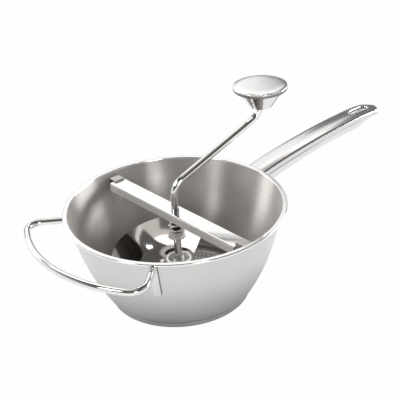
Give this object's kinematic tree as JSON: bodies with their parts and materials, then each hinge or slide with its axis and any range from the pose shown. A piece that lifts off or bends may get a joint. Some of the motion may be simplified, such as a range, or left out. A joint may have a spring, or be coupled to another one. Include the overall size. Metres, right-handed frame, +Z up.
{
  "type": "food mill",
  "caption": "Hand-cranked food mill: tapered steel bowl with sieve, bent crank with round knob and helical pressing blade, sprung cross bar, long handle and wire handle.",
  "frame": {"origin": "on the bowl's axis, in the plane of the base it stands on", "axes": "+Z up along the bowl's axis, +X along the long handle, +Y towards the far end of the cross bar"},
  "size_m": [0.425, 0.209, 0.1852],
  "materials": {
    "bowl_satin_steel": "satin stainless sheet, brushed round inside",
    "sieve_steel": "satin perforated stainless sheet",
    "bar_steel": "semi-polished stainless sheet",
    "spring_steel": "bright stainless spring wire",
    "polished_rod": "mirror-polished stainless rod",
    "mirror_blade": "mirror-polished stainless sheet",
    "knob_steel": "polished stainless sheet",
    "handle_satin_steel": "satin stainless sheet"
  },
  "bodies": {
    "bowl_body": {"bowl": "bowl_satin_steel", "sieve_disc": "sieve_steel", "sieve_bush": "sieve_steel", "bar_bracket_far": "bowl_satin_steel", "bar_bracket_near": "bowl_satin_steel", "handle_weld_plate": "bowl_satin_steel", "handle_root": "handle_satin_steel", "handle_top_shell": "handle_satin_steel", "handle_bottom_shell": "handle_satin_steel", "wire_handle": "polished_rod", "wire_foot_far": "bowl_satin_steel", "wire_foot_near": "bowl_satin_steel"},
    "bar": {"crossbar": "bar_steel", "spring_washer_upper": "spring_steel", "pressure_spring": "spring_steel"},
    "shaft_lift": {"spring_washer_lower": "spring_steel"},
    "crank": {"crank_rod": "polished_rod", "stop_ring": "spring_steel", "pressing_blade": "mirror_blade", "blade_hub": "mirror_blade", "knob_thrust_washer": "spring_steel", "knob_clip": "spring_steel"},
    "knob": {"knob_cap": "knob_steel", "knob_cone": "knob_steel", "knob_web": "bar_steel", "knob_bush": "bar_steel"}
  },
  "joints": [
    {"name": "bar_press", "type": "slide", "parent": "bowl_body", "child": "bar", "axis": [0, 0, -1], "range_m": [0, 0.004], "stiffness_N_per_m": 2500, "springref_m": -0.004, "deforming": ["pressure_spring"]},
    {"name": "shaft_lift", "type": "slide", "parent": "bowl_body", "child": "shaft_lift", "axis": [0, 0, 1], "range_m": [0, 0.003], "stiffness_N_per_m": 2500, "springref_m": -0.004, "deforming": ["pressure_spring"]},
    {"name": "crank_spin", "type": "hinge", "parent": "shaft_lift", "child": "crank", "pos_m": [0, 0, 0], "axis": [0, 0, 1], "continuous": true},
    {"name": "knob_spin", "type": "hinge", "parent": "crank", "child": "knob", "pos_m": [0.09863, -0.0165, 0.16], "axis": [0, 0, 1], "continuous": true}
  ]
}
